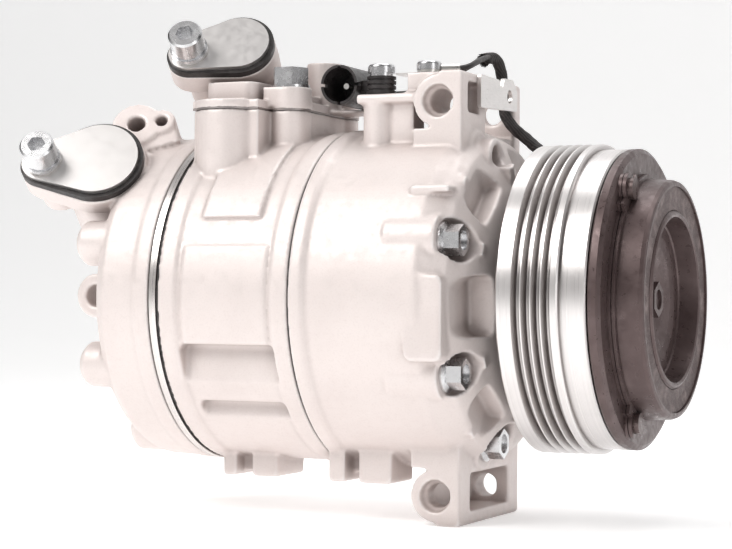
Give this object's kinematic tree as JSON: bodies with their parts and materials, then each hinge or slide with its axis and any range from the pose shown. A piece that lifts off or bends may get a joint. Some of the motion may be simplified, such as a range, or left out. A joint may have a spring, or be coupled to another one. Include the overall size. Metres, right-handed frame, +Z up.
{
  "type": "automotive ac compressor",
  "caption": "Swash-plate air-conditioning compressor with ribbed belt pulley, magnetic clutch, cast housings, port caps and ear mounts.",
  "frame": {"origin": "where the shaft axis crosses the plane of the pulley's rear rim, the datum that the belt line and the ears are measured from", "axes": "+X along the shaft toward the clutch, +Z up, -Y toward the side that carries the ports"},
  "size_m": [0.2392, 0.1339, 0.1855],
  "materials": {
    "casting": "matte sand-cast aluminium",
    "gasket": "satin black rubber",
    "plate_steel": "ground steel",
    "bolt_zinc": "bright zinc plate",
    "cap_plate": "satin zinc plate",
    "cap_seal": "moulded black rubber",
    "piston_alloy": "machined alloy",
    "ptfe": "dark low-friction ring",
    "hard_steel": "hardened and ground steel",
    "pulley_steel": "turned bright steel",
    "coil_steel": "dark coated steel",
    "winding": "potted copper winding",
    "clutch_steel": "satin brown-black coated steel",
    "rivet_steel": "satin brown-black coated steel",
    "damper": "moulded rubber",
    "valve_brass": "machined brass",
    "connector_black": "moulded black plastic",
    "terminal": "tinned brass",
    "sleeve": "black woven sleeve",
    "wire": "black wire insulation",
    "bracket": "zinc plated sheet"
  },
  "bodies": {
    "housing": {"bearing_inner_race": "hard_steel", "body_gasket": "gasket", "bracket_rivet": "bracket", "cap_bolts": "bolt_zinc", "coil_housing": "coil_steel", "coil_winding": "winding", "connector_body": "connector_black", "connector_pin": "terminal", "control_valve": "valve_brass", "control_valve_seals": "gasket", "cover_bolts": "bolt_zinc", "cover_gasket": "gasket", "cylinder_block": "casting", "discharge_reed": "plate_steel", "front_housing": "casting", "grommet": "cap_seal", "ground_clip": "bracket", "ground_wire": "wire", "harness_bracket": "bracket", "harness_sleeve": "sleeve", "head_gaskets": "gasket", "needle_bearings": "hard_steel", "piston_rings": "ptfe", "pistons": "piston_alloy", "rear_cap_plate": "cap_plate", "rear_cap_seal": "cap_seal", "rear_housing": "casting", "relief_valve": "valve_brass", "ring_terminal": "terminal", "screw_collar": "bolt_zinc", "shaft_seal": "gasket", "shoes": "hard_steel", "signal_wire": "wire", "snap_rings": "plate_steel", "suction_reed": "plate_steel", "terminal_screws": "bolt_zinc", "through_bolts": "bolt_zinc", "thrust_bearing": "hard_steel", "top_cap_plate": "cap_plate", "top_cap_seal": "cap_seal", "top_cover": "casting", "valve_plate": "plate_steel"},
    "pulley": {"pulley": "pulley_steel", "bearing_outer_race": "hard_steel", "bearing_seals": "plate_steel"},
    "ball_cage": {"bearing_balls": "hard_steel"},
    "shaft": {"drive_shaft": "hard_steel", "lug_plate": "hard_steel", "swash_plate": "hard_steel", "hinge_pin": "hard_steel", "return_springs": "plate_steel", "clutch_hub": "clutch_steel", "hub_shims": "plate_steel", "hub_bolt": "bolt_zinc", "damper_rubber": "damper"},
    "armature": {"armature_plate": "clutch_steel", "hub_sheet": "clutch_steel", "rivets": "rivet_steel", "damper_cup": "clutch_steel"},
    "valve_rod": {"control_valve_rod": "valve_brass"}
  },
  "joints": [
    {"name": "pulley_spin", "type": "hinge", "parent": "housing", "child": "pulley", "pos_m": [0.014, 0, 0], "axis": [1, 0, 0], "continuous": true},
    {"name": "ball_cage_spin", "type": "hinge", "parent": "housing", "child": "ball_cage", "pos_m": [0.014, 0, 0], "axis": [1, 0, 0], "continuous": true},
    {"name": "shaft_spin", "type": "hinge", "parent": "housing", "child": "shaft", "pos_m": [-0.052, 0, 0], "axis": [1, 0, 0], "continuous": true},
    {"name": "armature_pull_in", "type": "slide", "parent": "shaft", "child": "armature", "axis": [-1, 0, 0], "range_m": [0, 0.0005], "stiffness_N_per_m": 12000},
    {"name": "control_valve_stroke", "type": "slide", "parent": "housing", "child": "valve_rod", "axis": [0, 0.2852, -0.9585], "range_m": [0, 0.0012], "stiffness_N_per_m": 1500}
  ],
  "couplings": [
    {"joint": "ball_cage_spin", "follows": "pulley_spin", "ratio": 0.5711}
  ]
}
